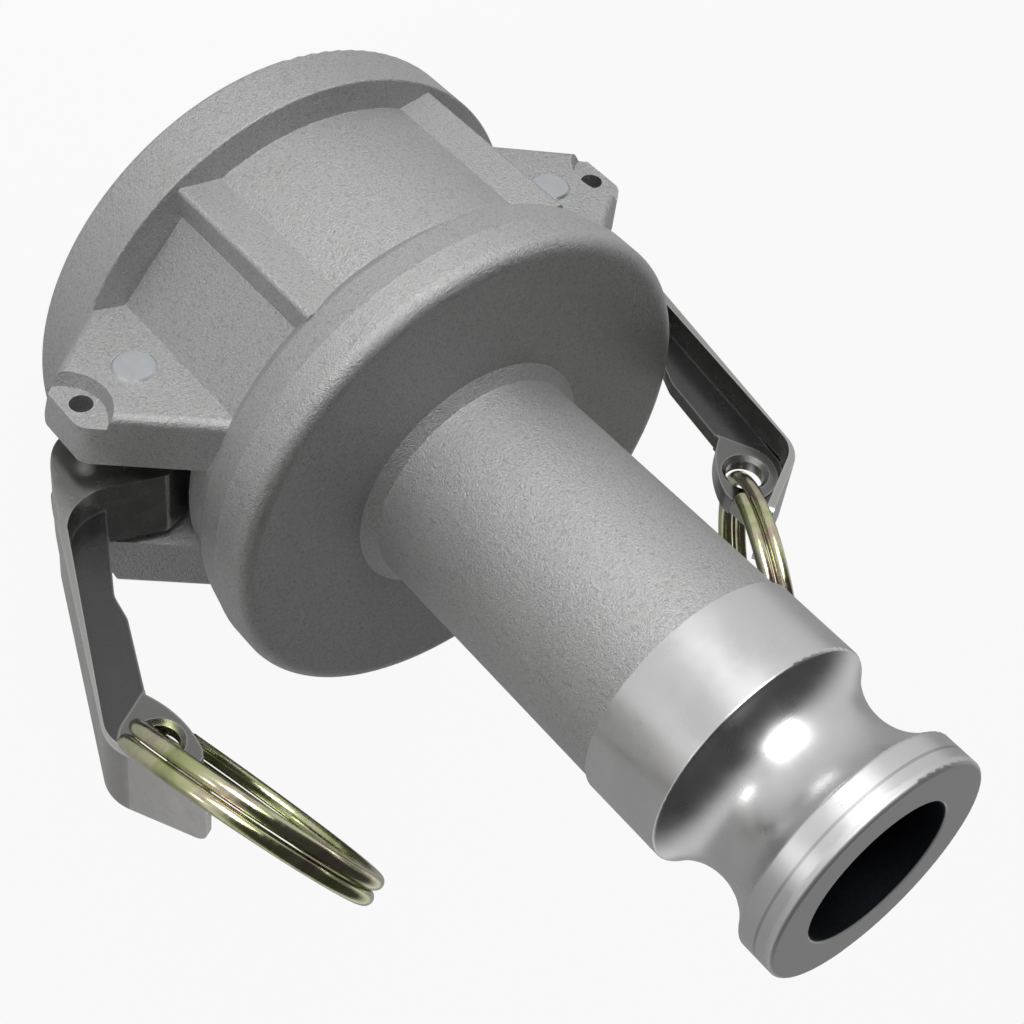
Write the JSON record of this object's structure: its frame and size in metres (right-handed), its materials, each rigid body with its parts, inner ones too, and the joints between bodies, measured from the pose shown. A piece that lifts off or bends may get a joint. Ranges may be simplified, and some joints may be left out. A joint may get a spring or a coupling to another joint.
{
  "type": "cam and groove reducer",
  "caption": "Cam and groove hose reducer: larger female coupler with two cam arms and pull rings, smaller male adapter end on a common cast body.",
  "frame": {"origin": "centre of the coupler's rim face, on the bore's axis", "axes": "+Z along the bore to the male end, +X and -X through the two lugs with the cam arms, +Y the side whose pin ends the picture shows"},
  "size_m": [0.1192, 0.0794, 0.1332],
  "materials": {
    "body": "shot-blasted casting, male end turned bright",
    "gasket": "matt moulded",
    "pivot_pin_left": "drawn, ends dull",
    "pivot_pin_right": "drawn, ends dull",
    "cam_arm_left": "tumbled stainless casting, satin",
    "cam_arm_right": "tumbled stainless casting, satin",
    "pull_ring_left": "zinc plated, yellow passivated, glossy",
    "pull_ring_right": "zinc plated, yellow passivated, glossy"
  },
  "bodies": {
    "body": {"body": "body", "gasket": "gasket", "pivot_pin_left": "pivot_pin_left", "pivot_pin_right": "pivot_pin_right"},
    "left_arm": {"cam_arm_left": "cam_arm_left"},
    "right_arm": {"cam_arm_right": "cam_arm_right"},
    "left_ring": {"pull_ring_left": "pull_ring_left"},
    "right_ring": {"pull_ring_right": "pull_ring_right"}
  },
  "joints": [
    {"name": "left_arm_pivot", "type": "hinge", "parent": "body", "child": "left_arm", "pos_m": [-0.037, -0.0005, 0.0216], "axis": [0, -1, 0], "range_deg": [-32.3, 65.6]},
    {"name": "right_arm_pivot", "type": "hinge", "parent": "body", "child": "right_arm", "pos_m": [0.037, -0.0016, 0.0216], "axis": [0, 1, 0], "range_deg": [0, 97.9]},
    {"name": "left_ring_hang", "type": "hinge", "parent": "left_arm", "child": "left_ring", "pos_m": [-0.06223, -0.0005, 0.06638], "axis": [0, -1, 0], "range_deg": [-65.6, 32.3]},
    {"name": "right_ring_hang", "type": "hinge", "parent": "right_arm", "child": "right_ring", "pos_m": [0.0344, -0.0016, 0.07293], "axis": [0, 1, 0], "range_deg": [-97.9, 0]}
  ],
  "couplings": [
    {"joint": "left_ring_hang", "follows": "left_arm_pivot", "ratio": -1},
    {"joint": "right_ring_hang", "follows": "right_arm_pivot", "ratio": -1}
  ]
}
